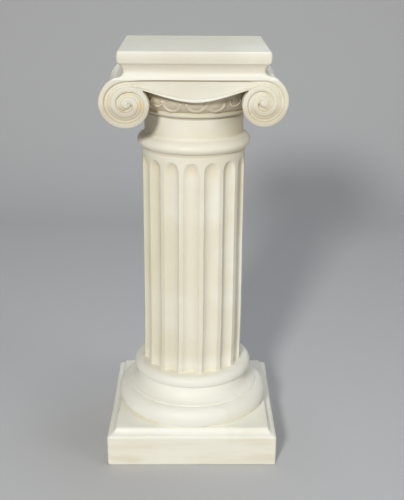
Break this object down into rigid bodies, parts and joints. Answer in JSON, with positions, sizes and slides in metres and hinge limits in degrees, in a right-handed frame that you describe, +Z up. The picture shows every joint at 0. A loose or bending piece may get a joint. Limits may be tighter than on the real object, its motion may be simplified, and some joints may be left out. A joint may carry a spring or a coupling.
{
  "type": "ionic column pedestal",
  "caption": "Free-standing cast Ionic column: square plinth, moulded base, fluted shaft and a scrolled capital whose flat square top carries a bust, vase or planter.",
  "frame": {"origin": "centre of the plinth's flat underside", "axes": "+Z up along the shaft, +X to the right and -Y to the front, the face that shows both volutes"},
  "size_m": [0.3776, 0.372, 0.9],
  "materials": {
    "ivory_cast": "satin-matte ivory paint on cast resin, with a tan antique wash left in the hollows"
  },
  "bodies": {
    "root": {"column": "ivory_cast"}
  },
  "joints": []
}
